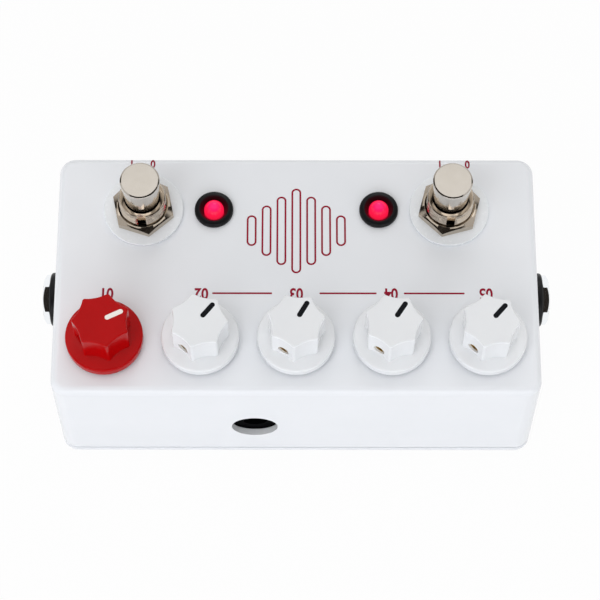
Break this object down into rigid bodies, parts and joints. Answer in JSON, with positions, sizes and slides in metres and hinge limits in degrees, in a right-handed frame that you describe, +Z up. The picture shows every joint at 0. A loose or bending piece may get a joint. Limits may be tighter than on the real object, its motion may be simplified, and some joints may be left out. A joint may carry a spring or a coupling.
{
  "type": "delay effects pedal",
  "caption": "White die-cast effects pedal with fluted pot knobs, press footswitches, red indicator lamps, side jacks and a round power inlet.",
  "frame": {"origin": "centre of the base plate's underside, on the surface that the pedal stands on", "axes": "+X along the length, towards the right-hand jack; -Y towards the knobs and the power inlet; +Y towards the footswitches and the player; +Z up"},
  "size_m": [0.1302, 0.066, 0.0566],
  "materials": {
    "white_paint": "gloss white powder coat",
    "white_plastic": "moulded, gloss white",
    "red_plastic": "moulded, gloss red",
    "nickel_plate": "bright nickel plate",
    "brass": "turned, plain",
    "zinc_steel": "zinc plated",
    "black_plastic": "moulded, satin black",
    "clear_nylon": "translucent natural nylon",
    "red_lens": "tinted clear epoxy, lit",
    "board_laminate": "solder mask over laminate"
  },
  "bodies": {
    "root": {"enclosure": "white_paint", "base_plate": "white_paint", "base_screw_1": "zinc_steel", "base_screw_2": "zinc_steel", "base_screw_3": "zinc_steel", "base_screw_4": "zinc_steel", "circuit_board": "board_laminate", "power_socket": "black_plastic", "pot_body_1": "zinc_steel", "pot_nut_1": "nickel_plate", "pot_body_2": "zinc_steel", "pot_nut_2": "nickel_plate", "pot_body_3": "zinc_steel", "pot_nut_3": "nickel_plate", "pot_body_4": "zinc_steel", "pot_nut_4": "nickel_plate", "pot_body_5": "zinc_steel", "pot_nut_5": "nickel_plate", "footswitch_bushing_left": "nickel_plate", "footswitch_housing_left": "black_plastic", "footswitch_nut_left": "nickel_plate", "footswitch_washer_left": "clear_nylon", "lamp_bezel_left": "black_plastic", "lamp_left": "red_lens", "jack_body_left": "black_plastic", "jack_spacer_left": "black_plastic", "jack_nut_left": "nickel_plate", "footswitch_bushing_right": "nickel_plate", "footswitch_housing_right": "black_plastic", "footswitch_nut_right": "nickel_plate", "footswitch_washer_right": "clear_nylon", "lamp_bezel_right": "black_plastic", "lamp_right": "red_lens", "jack_body_right": "black_plastic", "jack_spacer_right": "black_plastic", "jack_nut_right": "nickel_plate"},
    "dial_1": {"knob_1": "red_plastic", "knob_insert_1": "brass", "knob_set_screw_1": "brass", "pot_shaft_1": "nickel_plate"},
    "dial_2": {"knob_2": "white_plastic", "knob_insert_2": "brass", "knob_set_screw_2": "brass", "pot_shaft_2": "nickel_plate"},
    "dial_3": {"knob_3": "white_plastic", "knob_insert_3": "brass", "knob_set_screw_3": "brass", "pot_shaft_3": "nickel_plate"},
    "dial_4": {"knob_4": "white_plastic", "knob_insert_4": "brass", "knob_set_screw_4": "brass", "pot_shaft_4": "nickel_plate"},
    "dial_5": {"knob_5": "white_plastic", "knob_insert_5": "brass", "knob_set_screw_5": "brass", "pot_shaft_5": "nickel_plate"},
    "button_left": {"footswitch_button_left": "nickel_plate"},
    "button_right": {"footswitch_button_right": "nickel_plate"}
  },
  "joints": [
    {"name": "knob_1_turn", "type": "hinge", "parent": "root", "child": "dial_1", "pos_m": [-0.0472, -0.0182, 0.0453], "axis": [0, 0, 1], "range_deg": [-256, 24]},
    {"name": "knob_2_turn", "type": "hinge", "parent": "root", "child": "dial_2", "pos_m": [-0.0236, -0.0182, 0.0453], "axis": [0, 0, 1], "range_deg": [-280, 0]},
    {"name": "knob_3_turn", "type": "hinge", "parent": "root", "child": "dial_3", "pos_m": [0, -0.0182, 0.0453], "axis": [0, 0, 1], "range_deg": [-280, 0]},
    {"name": "knob_4_turn", "type": "hinge", "parent": "root", "child": "dial_4", "pos_m": [0.0236, -0.0182, 0.0453], "axis": [0, 0, 1], "range_deg": [-280, 0]},
    {"name": "knob_5_turn", "type": "hinge", "parent": "root", "child": "dial_5", "pos_m": [0.0472, -0.0182, 0.0453], "axis": [0, 0, 1], "range_deg": [-280, 0]},
    {"name": "footswitch_left_press", "type": "slide", "parent": "root", "child": "button_left", "axis": [0, 0, -1], "range_m": [0, 0.0024], "stiffness_N_per_m": 3000, "springref_m": -0.004},
    {"name": "footswitch_right_press", "type": "slide", "parent": "root", "child": "button_right", "axis": [0, 0, -1], "range_m": [0, 0.0024], "stiffness_N_per_m": 3000, "springref_m": -0.004}
  ]
}
